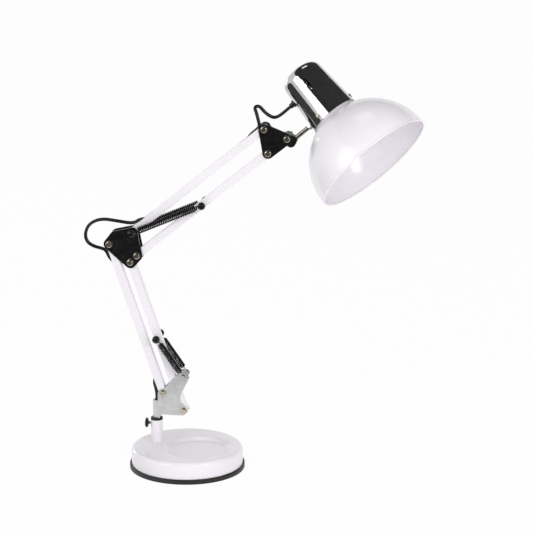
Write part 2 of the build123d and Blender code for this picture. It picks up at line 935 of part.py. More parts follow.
def shade():
    middle = cup_bottom - neck_show - math.sqrt(shade_radius**2 - cup_mouth**2)
    rim = middle - shade_skirt
    neck = cup_mouth - cup_wall - neck_gap - neck_rise * math.tan(math.radians(cup_slant))
    crown = cup_bottom + neck_rise
    ball = Pos(0, 0, middle) * (Sphere(shade_radius) - Sphere(shade_radius - shade_wall))
    keep = upright(shade_radius + 1, rim, middle + shade_radius)
    ball &= keep
    ball -= upright(neck - shade_wall, middle, middle + shade_radius)
    foot = middle + math.sqrt((shade_radius - shade_wall) ** 2 - neck**2)
    tube = upright(neck, foot, crown) - upright(neck - shade_wall, foot, crown)
    ball += tube
    flange = upright(neck, crown - shade_wall, crown)
    flange -= upright(holder_sleeve + holder_fit, crown - shade_wall, crown)
    ball += flange
    edge = math.sqrt(shade_radius**2 - shade_skirt**2) - shade_wall / 2
    bead = revolve(Plane.XZ * (Pos(edge, rim) * Circle(shade_bead)), Axis.Z)
    ball += bead
    return head * ball


def holder_disc():
    """The disc that the cup's screws hold, with the lampholder through its middle."""
    low = cup_bottom + neck_rise
    radius = cup_radius(low + disc_height) - cup_wall - disc_gap
    disc = upright(radius, low, low + disc_height)
    disc -= upright(holder_sleeve + running, low, low + disc_height)
    for out in screw_places():
        disc -= extrude(out * Circle(screw_radius + running), amount=-8)
    notch = extrude(stem_frame * Circle(disc_notch), amount=2 * cup_mouth)
    return head * disc - notch


def lampholder():
    crown = cup_bottom + neck_rise + disc_height
    low = cup_bottom - holder_drop
    top = crown + holder_length
    body = upright(holder_radius, crown, top)
    body = fillet(body.edges().group_by(Axis.Z)[-1], 6)
    body += upright(holder_sleeve, low, crown)
    body -= upright(lamp_bore + sleeve_wall, low, low + sleeve_depth)
    return head * body


def holder_thread():
    low = cup_bottom - holder_drop
    sleeve = upright(lamp_bore + sleeve_wall, low + 1, low + sleeve_depth)
    return head * (sleeve - upright(lamp_bore, low + 1, low + sleeve_depth))


def shade_ring():
    top = cup_bottom + neck_rise - shade_wall
    ring = upright(ring_radius, top - ring_height, top)
    ring = fillet(ring.edges().group_by(Axis.Z)[0], 1.5)
    return head * (ring - upright(holder_sleeve + running, top - ring_height, top))


def knuckle():
    """The black block that the tilt bolt goes through and the stem is set in."""
    foot = (stem_foot.X, stem_foot.Z)
    half = plate_inner - knuckle_gap
    nose = moved(foot, along(stem_angle, stem_grip - knuckle_stem_radius + 2))
    face = rounded_hull(
        [tilt, foot, nose],
        [knuckle_tilt_radius, knuckle_stem_radius, knuckle_stem_radius - 2],
    )
    block = slab(face, -half, half)
    block = fillet(block.faces().sort_by(Axis.Y)[0].edges(), 0.8)
    block = fillet(block.faces().sort_by(Axis.Y)[-1].edges(), 0.8)
    block -= rod(tilt, bolt_radius + running, -bar_width, bar_width)
    return block - extrude(stem_frame * Circle(stem_radius + running), amount=stem_reach)


def stem_rod():
    start = cup_radius(0) - cup_wall - stem_inside
    rod_face = stem_frame.offset(start) * Circle(stem_radius)
    return extrude(rod_face, amount=stem_reach - start)


def stem_nuts():
    """A nut at each side of the cup's wall, so that the cup turns between them."""
    wall = cup_radius(0) * math.cos(math.radians(cup_slant))
    bulge = stem_nut_width**2 / 6 / cup_mouth
    nuts = []
    for start in (wall + seat, wall - cup_wall - seat - bulge - stem_nut_height):
        face = RegularPolygon(stem_nut_width / 2, 6, major_radius=False) - Circle(stem_radius + running)
        nuts.append(extrude(stem_frame.offset(start) * face, amount=stem_nut_height))
    return nuts


def tilt_knob():
    """The lobed clamp knob on the far end of the tilt bolt."""
    start = plate_outer + seat
    face = Pos(*tilt) * Circle(knob_radius - 1.5)
    for i in range(knob_lobes):
        step = along(360 * i / knob_lobes, knob_radius - 3)
        face += Pos(*moved(tilt, step)) * Circle(3)
    knob = slab(face, -start - knob_height, -start)
    knob -= rod(tilt, bolt_radius + running, -start - knob_height + 2, -start)
    return knob


def main():
    os.makedirs("parts", exist_ok=True)

    save(base_shell(), "base_shell")
    save(base_weight(), "base_weight")
    save(rim_trim(), "rim_trim")
    save(base_plate(), "base_plate")
    save(base_pad(), "base_pad")
    save(post_tube(), "post_tube")
    save(post_collar(), "post_collar")
    save(post_nut(), "post_nut")
    save(gland(base_gland_place(), 3), "base_gland")
    save(thumb_screw(), "thumb_screw")

    pin = upright(pin_radius, post_top - pin_depth, rear_bottom[1] - bar_width - 1.4, (post_x, post_y))
    pin -= upright(pin_bore, post_top - pin_depth, rear_bottom[1], (post_x, post_y))
    save(pin, "swivel_pin")
    save(swivel_bracket(), "swivel_bracket")
    feet = (rear_bottom, front_bottom)
    save_group([bolt(p, sheet_outer, sheet_outer) for p in feet], "bracket_bolts")
    save_group([nut(p, sheet_outer) for p in feet], "bracket_nuts")
    save_group([s for p in feet for s in spacers(p)], "bracket_spacers")
    save_group(ear_pegs(), "ear_pegs")

    slot_at_far_end = lower_length - (slot_near + slot_far) / 2
    slot_middle = (slot_near + slot_far) / 2
    save(bar(rear_bottom, rear_top, slots=(slot_middle, slot_at_far_end)), "lower_rear_bar")
    save(bar(front_bottom, front_top, pins=(lower_pin,)), "lower_front_bar")
    save(spring_pin(lower_pin, spring_pin_reach), "lower_spring_pin")
    save_group(spring_caps(lower_pin, spring_pin_reach), "lower_spring_caps")

    save(elbow_plate(True), "elbow_plate_near")
    save(elbow_plate(False), "elbow_plate_far")
    pivots = (rear_top, front_top, upper_bottom_start)
    save_group([bolt(p, plate_outer, plate_outer) for p in pivots], "elbow_bolts")
    save_group([nut(p, plate_outer) for p in pivots], "elbow_nuts")
    washers = [s for p in (*pivots, upper_top_start) for s in spacers(p)]
    save_group(washers, "elbow_spacers")
    save(spring_pin(upper_top_start, spring_pin_reach), "elbow_spring_pin")
    save_group(spring_caps(upper_top_start, spring_pin_reach), "elbow_spring_caps")

    far_slot = upper_length - slot_middle
    save(bar(upper_top_start, upper_top_end, slots=(slot_middle, far_slot)), "upper_top_bar")
    save(bar(upper_bottom_start, upper_bottom_end, pins=(upper_pin,)), "upper_bottom_bar")
    save(spring_pin(upper_pin, spring_pin_reach), "upper_spring_pin")
    save_group(spring_caps(upper_pin, spring_pin_reach), "upper_spring_caps")

    for word, offset in (("near", spring_offset), ("far", -spring_offset)):
        name = f"lower_spring_{word}"
        save(spring(lower_pin, ear_pin, lower_turns, offset, name), name)
        name = f"upper_spring_{word}"
        save(spring(upper_top_start, upper_pin, upper_turns, offset, name), name)

    save(head_plate(True), "head_plate_near")
    save(head_plate(False), "head_plate_far")
    ends = (upper_top_end, upper_bottom_end)
    bolts = [bolt(p, plate_outer, plate_outer) for p in ends]
    save_group(bolts + [bolt(tilt, plate_outer, plate_outer)], "head_bolts")
    save_group([nut(p, plate_outer) for p in ends], "head_nuts")
    save_group([s for p in ends for s in spacers(p)], "head_spacers")
    save(tilt_knob(), "tilt_knob")
    save(knuckle(), "knuckle")
    save(stem_rod(), "stem_rod")
    save_group(stem_nuts(), "stem_nuts")

    save(cup(), "cup")
    save_group(cup_screws(), "cup_screws")
    save(shade(), "shade")
    save(shade_ring(), "shade_ring")
    save(holder_disc(), "holder_disc")
    save(lampholder(), "lampholder")
    save(holder_thread(), "holder_thread")
    save(gland(head_gland_place(), 4), "head_gland")
    save(switch_body(), "switch_body")
    save(switch_button(), "switch_button")

    save(lead(head_loop(), "head_lead"), "head_lead")
    upper_run = (in_bar(top_frame, lead_in, 0), in_bar(top_frame, lead_out, 0))
    save(straight_lead(*upper_run), "upper_lead")
    save(lead(elbow_loop(), "elbow_lead"), "elbow_lead")
    lower_run = (in_bar(rear_frame, lead_in, 0), in_bar(rear_frame, lower_length - lead_in, 0))
    save(straight_lead(*lower_run), "lower_lead")
    save(lead(foot_loop(), "foot_lead"), "foot_lead")
    save(lead(post_lead_points(), "post_lead"), "post_lead")


main()
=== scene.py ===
"""Looks of a white swing-arm desk lamp, dressed over its solid model, in metres."""

import json
import math

import bpy
from mathutils import Matrix, Vector


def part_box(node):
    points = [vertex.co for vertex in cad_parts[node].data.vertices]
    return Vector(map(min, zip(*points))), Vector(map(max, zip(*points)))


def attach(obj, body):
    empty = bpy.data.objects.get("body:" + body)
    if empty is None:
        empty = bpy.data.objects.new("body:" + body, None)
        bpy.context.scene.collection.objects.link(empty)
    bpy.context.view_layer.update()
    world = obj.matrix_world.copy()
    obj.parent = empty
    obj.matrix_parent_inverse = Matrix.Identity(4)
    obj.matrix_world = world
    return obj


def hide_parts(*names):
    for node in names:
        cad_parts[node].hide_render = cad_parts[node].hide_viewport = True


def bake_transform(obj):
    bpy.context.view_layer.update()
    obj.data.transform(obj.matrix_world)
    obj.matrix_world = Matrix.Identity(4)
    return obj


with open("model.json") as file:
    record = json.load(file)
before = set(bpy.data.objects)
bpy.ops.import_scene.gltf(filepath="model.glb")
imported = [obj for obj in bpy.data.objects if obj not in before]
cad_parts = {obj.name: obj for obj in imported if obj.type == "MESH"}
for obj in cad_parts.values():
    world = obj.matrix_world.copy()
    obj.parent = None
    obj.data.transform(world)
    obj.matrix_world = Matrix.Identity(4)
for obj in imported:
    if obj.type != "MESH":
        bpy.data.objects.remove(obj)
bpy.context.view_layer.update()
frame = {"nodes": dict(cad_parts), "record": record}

# From the near side of the lamp to the far side
across = Vector((0, 1, 0))
mm = 0.001


# Node trees

# Most of a cloud texture's values lie between these two
cloud_low = 0.3
cloud_high = 0.7


class Link:
    """A socket of a node tree, whose arithmetic adds Math nodes to that tree."""

    def __init__(self, nodes, socket):
        self.nodes = nodes
        self.socket = socket

    def maths(self, operation, first, second):
        return self.nodes.add("ShaderNodeMath", {"operation": operation}, {0: first, 1: second})

    def __add__(self, other):
        return self.maths("ADD", self, other)

    def __sub__(self, other):
        return self.maths("SUBTRACT", self, other)

    def __rsub__(self, other):
        return self.maths("SUBTRACT", other, self)

    def __mul__(self, other):
        return self.maths("MULTIPLY", self, other)

    def __or__(self, other):
        return self.maths("MAXIMUM", self, other)

    __radd__ = __add__
    __rmul__ = __mul__
    __ror__ = __or__


class Nodes:
    """A node tree, and the one way in which nodes are put in it."""

    def __init__(self, tree):
        self.tree = tree
        tree.nodes.clear()

    def add(self, kind, settings=None, sockets=None, out=0):
        node = self.tree.nodes.new(kind)
        for name, value in (settings or {}).items():
            if name == "stops":
                for element, (place, colour) in zip(node.color_ramp.elements, value):
                    element.position = place
                    element.color = (*colour, 1)
            else:
                setattr(node, name, value)
        for name, value in (sockets or {}).items():
            if isinstance(value, Link):
                self.tree.links.new(value.socket, node.inputs[name])
            else:
                node.inputs[name].default_value = value
        return Link(self, node.outputs[out]) if node.outputs else node


class Finish(Nodes):
    """A material, with the patterns that the lamp's surfaces are made of."""

    def __init__(self, name):
        self.material = bpy.data.materials.new(name)
        self.material.use_nodes = True
        super().__init__(self.material.node_tree)

    def place(self, stretch=(1, 1, 1)):
        spot = self.add("ShaderNodeTexCoord", out="Object")
        return self.add("ShaderNodeMapping", {}, {"Vector": spot, "Scale": stretch})

    def clouds(self, scale, detail=2.0, stretch=(1, 1, 1)):
        sockets = {"Vector": self.place(stretch), "Scale": scale, "Detail": detail}
        return self.add("ShaderNodeTexNoise", {}, sockets)

    def spangle(self, scale):
        sockets = {"Vector": self.place(), "Scale": scale}
        return self.add("ShaderNodeTexVoronoi", {}, sockets, out="Distance")

    def thread(self, pitch):
        """Rings along X, for a screw that lies along X."""
        # A wave texture runs through 20 radians in a unit, and one ring is 2 pi
        one_ring = math.pi / 10
        sockets = {"Vector": self.place((1 / pitch, 0, 0)), "Scale": one_ring}
        settings = {"wave_type": "BANDS", "bands_direction": "X", "wave_profile": "SIN"}
        return self.add("ShaderNodeTexWave", settings, sockets)

    def edge(self, radius):
        """1 along sharp edges and 0 on flat faces."""
        rounded = self.add("ShaderNodeBevel", {"samples": 6}, {"Radius": radius})
        plain = self.add("ShaderNodeNewGeometry", out="Normal")
        pair = {0: rounded, 1: plain}
        alike = self.add("ShaderNodeVectorMath", {"operation": "DOT_PRODUCT"}, pair, out="Value")
        return self.range(1 - alike, low=0.02, high=0.14, first=0, last=1)

    def range(self, value, low, high, first, last):
        sockets = {
            "Value": value,
            "From Min": low,
            "From Max": high,
            "To Min": first,
            "To Max": last,
        }
        return self.add("ShaderNodeMapRange", {}, sockets)

    def spread(self, value, first, last):
        """A cloud's value, which keeps near its middle, opened out between two numbers."""
        return self.range(value, cloud_low, cloud_high, first, last)

    def shades(self, value, first, last):
        """A cloud's value as a colour between two colours."""
        stops = [(cloud_low, first), (cloud_high, last)]
        return self.add("ShaderNodeValToRGB", {"stops": stops}, {"Fac": value})

    def over(self, mask, below, above):
        """One colour laid over another where a mask is 1."""
        sockets = {0: mask, 6: below, 7: above}
        return self.add("ShaderNodeMix", {"data_type": "RGBA"}, sockets, out=2)

    def relief(self, height, depth):
        return self.add("ShaderNodeBump", {}, {"Height": height, "Distance": depth})

    def surface(self, **sockets):
        named = {key.replace("_", " ").title(): value for key, value in sockets.items()}
        shader = self.add("ShaderNodeBsdfPrincipled", {}, named)
        self.add("ShaderNodeOutputMaterial", {}, {"Surface": shader})
        return self.material


# Finishes


def white_paint():
    look = Finish("white_gloss_paint")
    patches = look.clouds(scale=11, detail=3)
    return look.surface(
        base_color=look.shades(patches, (0.815, 0.785, 0.83), (0.85, 0.82, 0.86)),
        roughness=look.spread(patches, 0.26, 0.34),
        coat_weight=look.spread(patches, 0.3, 0.42),
        coat_roughness=0.06,
        normal=look.relief(look.clouds(scale=90, detail=1), depth=0.000002),
    )


def chrome():
    look = Finish("polished_chrome")
    smudge = look.clouds(scale=38, detail=5)
    return look.surface(
        base_color=look.shades(smudge, (0.50, 0.495, 0.49), (0.57, 0.565, 0.56)),
        metallic=1.0,
        roughness=look.spread(smudge, 0.03, 0.08),
        normal=look.relief(look.clouds(scale=60, detail=1), depth=0.00003),
    )


def zinc():
    look = Finish("zinc_plated_sheet")
    crystals = look.spangle(scale=240)
    cloud = look.clouds(scale=55, detail=4)
    edge = look.edge(radius=0.0005)
    base = look.shades(cloud * 0.75 + crystals * 0.35, (0.60, 0.60, 0.605), (0.76, 0.76, 0.765))
    return look.surface(
        base_color=look.over(edge * 0.5, base, (0.86, 0.86, 0.85, 1)),
        metallic=0.7,
        roughness=look.spread(cloud, 0.32, 0.46),
        normal=look.relief(look.clouds(scale=900, detail=2), depth=0.00001),
    )


def nickel():
    look = Finish("yellowed_nickel")
    tarnish = look.clouds(scale=420, detail=4)
    edge = look.edge(radius=0.0004)
    base = look.shades(tarnish, (0.54, 0.50, 0.39), (0.80, 0.76, 0.65))
    return look.surface(
        base_color=look.over(edge * 0.6, base, (0.86, 0.82, 0.72, 1)),
        metallic=1.0,
        roughness=look.spread(tarnish, 0.16, 0.3),
        normal=look.relief(tarnish, depth=0.00002),
    )


def black_paint():
    look = Finish("black_gloss_paint")
    dust = look.clouds(scale=140, detail=5)
    # Bare metal where the paint wears through along sharp edges, lighter and metallic; this also
    # paints the bright highlights that the plates' edges catch
    wear_and_edge_highlight = look.edge(radius=0.0005) * look.spread(look.clouds(scale=320, detail=3), 0.15, 1.0)
    base = look.shades(dust, (0.003, 0.003, 0.003), (0.007, 0.007, 0.007))
    return look.surface(
        base_color=look.over(wear_and_edge_highlight, base, (0.42, 0.42, 0.42, 1)),
        metallic=wear_and_edge_highlight * 0.8,
        roughness=look.spread(dust, 0.2, 0.32),
        coat_weight=look.spread(dust, 0.3, 0.4),
        coat_roughness=0.06,
        normal=look.relief(look.clouds(scale=600, detail=2), depth=0.00001),
    )


def black_wire():
    look = Finish("black_spring_wire")
    oil = look.clouds(scale=260, detail=3)
    return look.surface(
        base_color=look.shades(oil, (0.008, 0.008, 0.008), (0.02, 0.02, 0.02)),
        metallic=0.5,
        roughness=look.spread(oil, 0.34, 0.5),
        normal=look.relief(look.clouds(scale=1500, detail=2), depth=0.00001),
    )


def bare_steel(name, dark=(0.50, 0.50, 0.50), light=(0.70, 0.70, 0.69), thread=0.0):
    """Drawn steel, or steel with a screw thread where its pitch is given."""
    look = Finish(name)
    lines = look.clouds(scale=160, detail=3, stretch=(1, 12, 1))
    height, depth = (look.thread(thread), 0.0002) if thread else (lines, 0.00002)
    return look.surface(
        base_color=look.shades(lines, dark, light),
        metallic=1.0,
        roughness=look.spread(lines, 0.18, 0.34),
        normal=look.relief(height, depth),
    )


def black_plastic():
    look = Finish("moulded_black_plastic")
    wear = look.clouds(scale=85, detail=4)
    return look.surface(
        base_color=look.shades(wear, (0.004, 0.004, 0.004), (0.009, 0.009, 0.009)),
        roughness=look.spread(wear, 0.3, 0.44),
        normal=look.relief(look.clouds(scale=1100, detail=2), depth=0.00002),
    )


def white_plastic():
    look = Finish("white_phenolic_plastic")
    flow = look.clouds(scale=50, detail=4)
    return look.surface(
        base_color=look.shades(flow, (0.70, 0.69, 0.66), (0.79, 0.785, 0.76)),
        roughness=look.spread(flow, 0.34, 0.5),
        normal=look.relief(look.clouds(scale=800, detail=2), depth=0.00002),
    )


def black_rubber(name, roughness):
    look = Finish(name)
    bloom = look.clouds(scale=75, detail=4)
    return look.surface(
        base_color=look.shades(bloom, (0.005, 0.005, 0.005), (0.012, 0.0118, 0.0115)),
        roughness=look.spread(bloom, *roughness),
        normal=look.relief(look.clouds(scale=1200, detail=3), depth=0.00003),
    )


def felt():
    look = Finish("black_felt")
    fibre = look.clouds(scale=900, detail=5, stretch=(1, 0.25, 1))
    return look.surface(
        base_color=look.shades(fibre, (0.012, 0.012, 0.012), (0.06, 0.06, 0.06)),
        roughness=look.spread(fibre, 0.9, 1.0),
        sheen_weight=0.3,
        normal=look.relief(fibre, depth=0.0003),
    )


def cast_iron():
    look = Finish("cast_iron")
    sand = look.clouds(scale=480, detail=5)
    return look.surface(
        base_color=look.shades(sand, (0.06, 0.058, 0.055), (0.16, 0.155, 0.15)),
        metallic=0.5,
        roughness=look.spread(sand, 0.6, 0.8),
        normal=look.relief(sand, depth=0.0003),
    )


def brass():
    look = Finish("yellow_brass")
    wear = look.clouds(scale=220, detail=4)
    return look.surface(
        base_color=look.shades(wear, (0.60, 0.42, 0.16), (0.80, 0.62, 0.30)),
        metallic=1.0,
        roughness=look.spread(wear, 0.2, 0.34),
        normal=look.relief(wear, depth=0.00002),
    )


# By the record's material slots
finishes = {
    "white_paint": white_paint(),
    "chrome": chrome(),
    "zinc": zinc(),
    "nickel": nickel(),
    "black_paint": black_paint(),
    "black_steel": black_wire(),
    "black_plastic": black_plastic(),
    "white_plastic": white_plastic(),
    "black_rubber": black_rubber("black_rubber", (0.4, 0.58)),
    "felt": felt(),
    "iron": cast_iron(),
    "steel": bare_steel("bright_steel"),
    "brass": brass(),
}
flex_finish = black_rubber("black_flex", (0.28, 0.42))
thread_finish = bare_steel("threaded_steel", thread=0.0007)
stem_finish = bare_steel("brown_steel", (0.20, 0.18, 0.165), (0.34, 0.31, 0.29))


def dress_solids():
    for part in frame["record"]["subparts"]:
        mesh = frame["nodes"][part["node"]].data
        mesh.materials.clear()
        is_stem = part["node"] == "stem_rod"
        mesh.materials.append(stem_finish if is_stem else finishes[part["material_slot"]])


# Meshes


def new_piece(name, data):
    piece = bpy.data.objects.new(name, data)
    bpy.context.scene.collection.objects.link(piece)
    return piece


def new_mesh(name, points, faces, finish):
    mesh = bpy.data.meshes.new(name)
    mesh.from_pydata([tuple(p) for p in points], [], faces)
    mesh.update()
    mesh.shade_smooth()
    mesh.materials.append(finish)
    return new_piece(name, mesh)


def made_plain(source, name):
    """The evaluated shape of an object as a plain mesh, the object itself taken away."""
    ready = source.evaluated_get(bpy.context.evaluated_depsgraph_get())
    mesh = bpy.data.meshes.new_from_object(ready)
    mesh.name = name
    bpy.data.objects.remove(source)
    return mesh


def middle(node):
    low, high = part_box(node)
    return (low + high) / 2


def shape_tree(name, sizes):
    """A Geometry Nodes tree with named sizes: its nodes and a way to read the sizes."""
    tree = bpy.data.node_groups.new(name, "GeometryNodeTree")
    tree.interface.new_socket("Geometry", in_out="INPUT", socket_type="NodeSocketGeometry")
    for size, kind in sizes.items():
        tree.interface.new_socket(size, in_out="INPUT", socket_type=kind)
    tree.interface.new_socket("Geometry", in_out="OUTPUT", socket_type="NodeSocketGeometry")
    made = Nodes(tree)
    return made, lambda size: made.add("NodeGroupInput", out=size)


def end_tree(made, shape, finish):
    smooth = made.add("GeometryNodeSetShadeSmooth", {}, {"Geometry": shape})
    real = made.add("GeometryNodeRealizeInstances", {}, {"Geometry": smooth})
    painted = made.add("GeometryNodeSetMaterial", {}, {"Geometry": real, "Material": finish})
    made.add("NodeGroupOutput", {}, {"Geometry": painted})
    return made.tree


def wire_tree(finish):
    """A round wire along a curve."""
    made, size = shape_tree("round_wire", {"Radius": "NodeSocketFloat", "Sides": "NodeSocketInt"})
    round_section = {"Radius": size("Radius"), "Resolution": size("Sides")}
    ring = made.add("GeometryNodeCurvePrimitiveCircle", {}, round_section)
    path = {"Curve": size("Geometry"), "Profile Curve": ring, "Fill Caps": True}
    wire = made.add("GeometryNodeCurveToMesh", {}, path)
    return end_tree(made, wire, finish)


def rib_tree(finish):
    """Round ribs on a circle about Z, for a grip."""
    floats = {name: "NodeSocketFloat" for name in ("Ring", "Rib", "Length")}
    made, size = shape_tree("grip_ribs", {"Count": "NodeSocketInt", **floats})
    places = {"Vertices": size("Count"), "Radius": size("Ring")}
    ring = made.add("GeometryNodeMeshCircle", {}, places)
    rib_sides = 8
    round_rib = {"Vertices": rib_sides, "Radius": size("Rib"), "Depth": size("Length")}
    rib = made.add("GeometryNodeMeshCylinder", {}, round_rib, out="Mesh")
    ribs = made.add("GeometryNodeInstanceOnPoints", {}, {"Points": ring, "Instance": rib})
    return end_tree(made, ribs, finish)


def grown(name, data, tree, sizes):
    """A mesh that a Geometry Nodes tree makes from a curve or a mesh."""
    source = new_piece(name + "_source", data)
    modifier = source.modifiers.new("tree", "NODES")
    modifier.node_group = tree
    for item in tree.interface.items_tree:
        if item.in_out == "INPUT" and item.name in sizes:
            modifier[item.identifier] = sizes[item.name]
    return made_plain(source, name)


def open_curve(name, points, kind):
    curve = bpy.data.curves.new(name, "CURVE")
    curve.dimensions = "3D"
    curve.resolution_u = 12
    spline = curve.splines.new(kind)
    spline.points.add(len(points) - 1)
    for point, place in zip(spline.points, points):
        point.co = (*place, 1)
    if kind == "NURBS":
        spline.order_u = 3
        spline.use_endpoint_u = True
    return curve


def turned_mesh(name, profile, centre, axis, finish, steps=72):
    """A profile of (radius, run along the axis), from pole to pole, turned about an axis."""
    side = axis.orthogonal().normalized()
    up = axis.cross(side)
    points = [centre + axis * profile[0][1]]
    for radius, run in profile[1:-1]:
        for i in range(steps):
            a = 2 * math.pi * i / steps
            points.append(centre + axis * run + (side * math.cos(a) + up * math.sin(a)) * radius)
    points.append(centre + axis * profile[-1][1])
    last = len(points) - 1
    rings = len(profile) - 2
    faces = []
    for i in range(steps):
        j = (i + 1) % steps
        faces.append((0, 1 + j, 1 + i))
        for k in range(rings - 1):
            low, high = 1 + k * steps, 1 + (k + 1) * steps
            faces.append((low + i, low + j, high + j, high + i))
        top = 1 + (rings - 1) * steps
        faces.append((last, top + i, top + j))
    return new_mesh(name, points, faces, finish)


# Springs

spring_wire = 0.00095
wire_sides = 8
lower_coil = 0.0033
lower_turns = 22
upper_coil = 0.0037
upper_turns = 32
coil_steps = 20
# From a pin to the coil's first turn
spring_neck = 0.0078
# A coil starts with this share of its width, and widens over this part of a turn
coil_end_width = 0.3
coil_end_turn = 0.8
# The eye round a pin, its arc in degrees, and where its wire goes on from it
spring_eye = 0.0031
eye_arc = range(55, 331, 11)
eye_step_out = 0.0013
eye_step_down = 0.16


def spring_line(length, turns, coil_radius):
    """Along X between two pins that lie along Z: an eye, a close coil and an eye."""
    eye = []
    for degrees in eye_arc:
        a = math.radians(degrees)
        eye.append((spring_eye * math.cos(a), spring_eye * math.sin(a), 0.0))
    eye.append((spring_eye + eye_step_out, -spring_eye * eye_step_down, 0.0))
    count = turns * coil_steps
    coil = []
    for i in range(count + 1):
        a = 2 * math.pi * i / coil_steps
        from_end = min(i, count - i) / (coil_end_turn * coil_steps)
        radius = coil_radius * min(1, coil_end_width + (1 - coil_end_width) * from_end)
        x = spring_neck + (length - 2 * spring_neck) * i / count
        coil.append((x, radius * math.cos(a), radius * math.sin(a)))
    far_eye = [(length - x, -y, z) for x, y, z in reversed(eye)]
    return eye, coil, far_eye


def placed(points, start, along):
    """A spring's points, moved so that it runs from a start in a direction."""
    up = along.cross(across)
    return [start + along * x + up * y - across * z for x, y, z in points]


def make_springs():
    black = wire_tree(finishes["black_steel"])
    bright = wire_tree(finishes["steel"])
    sizes = {"Radius": spring_wire, "Sides": wire_sides}
    lower = (lower_turns, lower_coil)
    upper = (upper_turns, upper_coil)
    sets = (
        ("lower", lower, "lower_spring_pin", "ear_pegs", "front_bar", "bracket"),
        ("upper", upper, "elbow_spring_pin", "upper_spring_pin", "elbow", "bottom_bar"),
    )
    for word, coil_size, first, last, first_body, last_body in sets:
        for side in ("near", "far"):
            node = f"{word}_spring_{side}"
            start = middle(first)
            end = middle(last)
            start.y = end.y = middle(node).y
            along = (end - start).normalized()
            line = spring_line((end - start).length, *coil_size)
            eye, coil, far_eye = (placed(points, start, along) for points in line)
            if word == "lower":
                parts = (("coil", eye + coil, black), ("hook", coil[-1:] + far_eye, bright))
            else:
                parts = (("coil", eye + coil + far_eye, black),)
            for kind, points, tree in parts:
                name = f"{node}_{kind}"
                mesh = grown(name, open_curve(name, points, "POLY"), tree, sizes)
                piece = new_piece(name, mesh)
                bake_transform(piece)
                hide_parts(node)
                "black_steel" if kind == "coil" else "steel"


# Lead

flex_width = 0.0052
flex_thickness = 0.0042
# Round each of its two cores, in degrees
core_arc = range(-120, 121, 15)

# Points that control the lead's curves, in millimetres
elbow_route = [
    (-37.1, 11.9, 339.0), (-48.6, 11.9, 329.4), (-62.6, 11.9, 327.5), (-70.5, 11.9, 321.3),
    (-93.0, 11.9, 324.4), (-112.5, 11.9, 326.5), (-128.5, 11.9, 319.3), (-134.4, 11.9, 305.3),
    (-131.5, 11.9, 294.3), (-122.5, 11.9, 289.0), (-115.5, 11.9, 287.5), (-106.7, 11.9, 285.2),
    (-102.3, 11.9, 274.1), (-91.5, 11.9, 266.1), (-87.3, 11.9, 253.8),
]
head_route = [
    (66.7, 11.9, 424.9), (75.9, 11.9, 432.5), (82.0, 11.9, 444.0), (90.0, 11.9, 450.5),
    (94.2, 12.1, 455.5), (92.3, 12.5, 463.0), (90.0, 13.5, 471.3), (86.3, 17.0, 479.2),
    (92.6, 21.0, 479.6), (97.3, 24.0, 472.6), (103.5, 26.0, 466.6), (111.1, 27.6, 463.0),
    (119.0, 27.3, 467.5), (127.2, 25.5, 475.0), (132.9, 23.8, 480.2),
]
foot_route = [
    (-47.2, 11.9, 136.7), (-42.2, 11.9, 122.0), (-45.4, 11.9, 108.2), (-43.0, 11.9, 100.8),
    (-41.6, 11.9, 91.5), (-42.3, 11.9, 81.0), (-42.2, 11.9, 69.3),
]


def smooth_line(route):
    """Points read from the NURBS curve that a route's points, in millimetres, control."""
    points = [Vector(p) / 1000 for p in route]
    mesh = made_plain(new_piece("route", open_curve("route", points, "NURBS")), "route")
    return [v.co.copy() for v in mesh.vertices]


def flex_section():
    """Points (along width, along thickness) round a flat flex with a groove between its cores."""
    core = flex_thickness / 2
    shift = flex_width / 2 - core
    half = []
    for degrees in core_arc:
        a = math.radians(degrees)
        half.append((shift + core * math.cos(a), core * math.sin(a)))
    return half + [(-x, -y) for x, y in half]


def flat_flex(name, line):
    """A flat flex along a line, with its width across the arm."""
    section = flex_section()
    count = len(section)
    points = []
    for i, spot in enumerate(line):
        ahead = (line[min(i + 1, len(line) - 1)] - line[max(i - 1, 0)]).normalized()
        width = (across - ahead * across.dot(ahead)).normalized()
        thick = ahead.cross(width)
        points += [spot + width * w + thick * t for w, t in section]
    faces = [tuple(reversed(range(count))), tuple(range(len(points) - count, len(points)))]
    for i in range(len(line) - 1):
        for k in range(count):
            a = i * count + k
            b = i * count + (k + 1) % count
            faces.append((a, b, b + count, a + count))
    return new_mesh(name, points, faces, flex_finish)


def lead_stretch(name, node, line, bodies, start, end):
    """One stretch of the lead, which runs between two bodies, made as a flat flex mesh in place
    of its solid.
    """
    piece = flat_flex(name, line)
    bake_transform(piece)
    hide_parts(node)
    sum((b - a).length for a, b in zip(line, line[1:]))


def part_way(line, share):
    """The number of the point that lies a share of the way along a line."""
    steps = [(b - a).length for a, b in zip(line, line[1:])]
    goal = share * sum(steps)
    count = 0
    while count < len(steps) and goal > 0:
        goal -= steps[count]
        count += 1
    return count


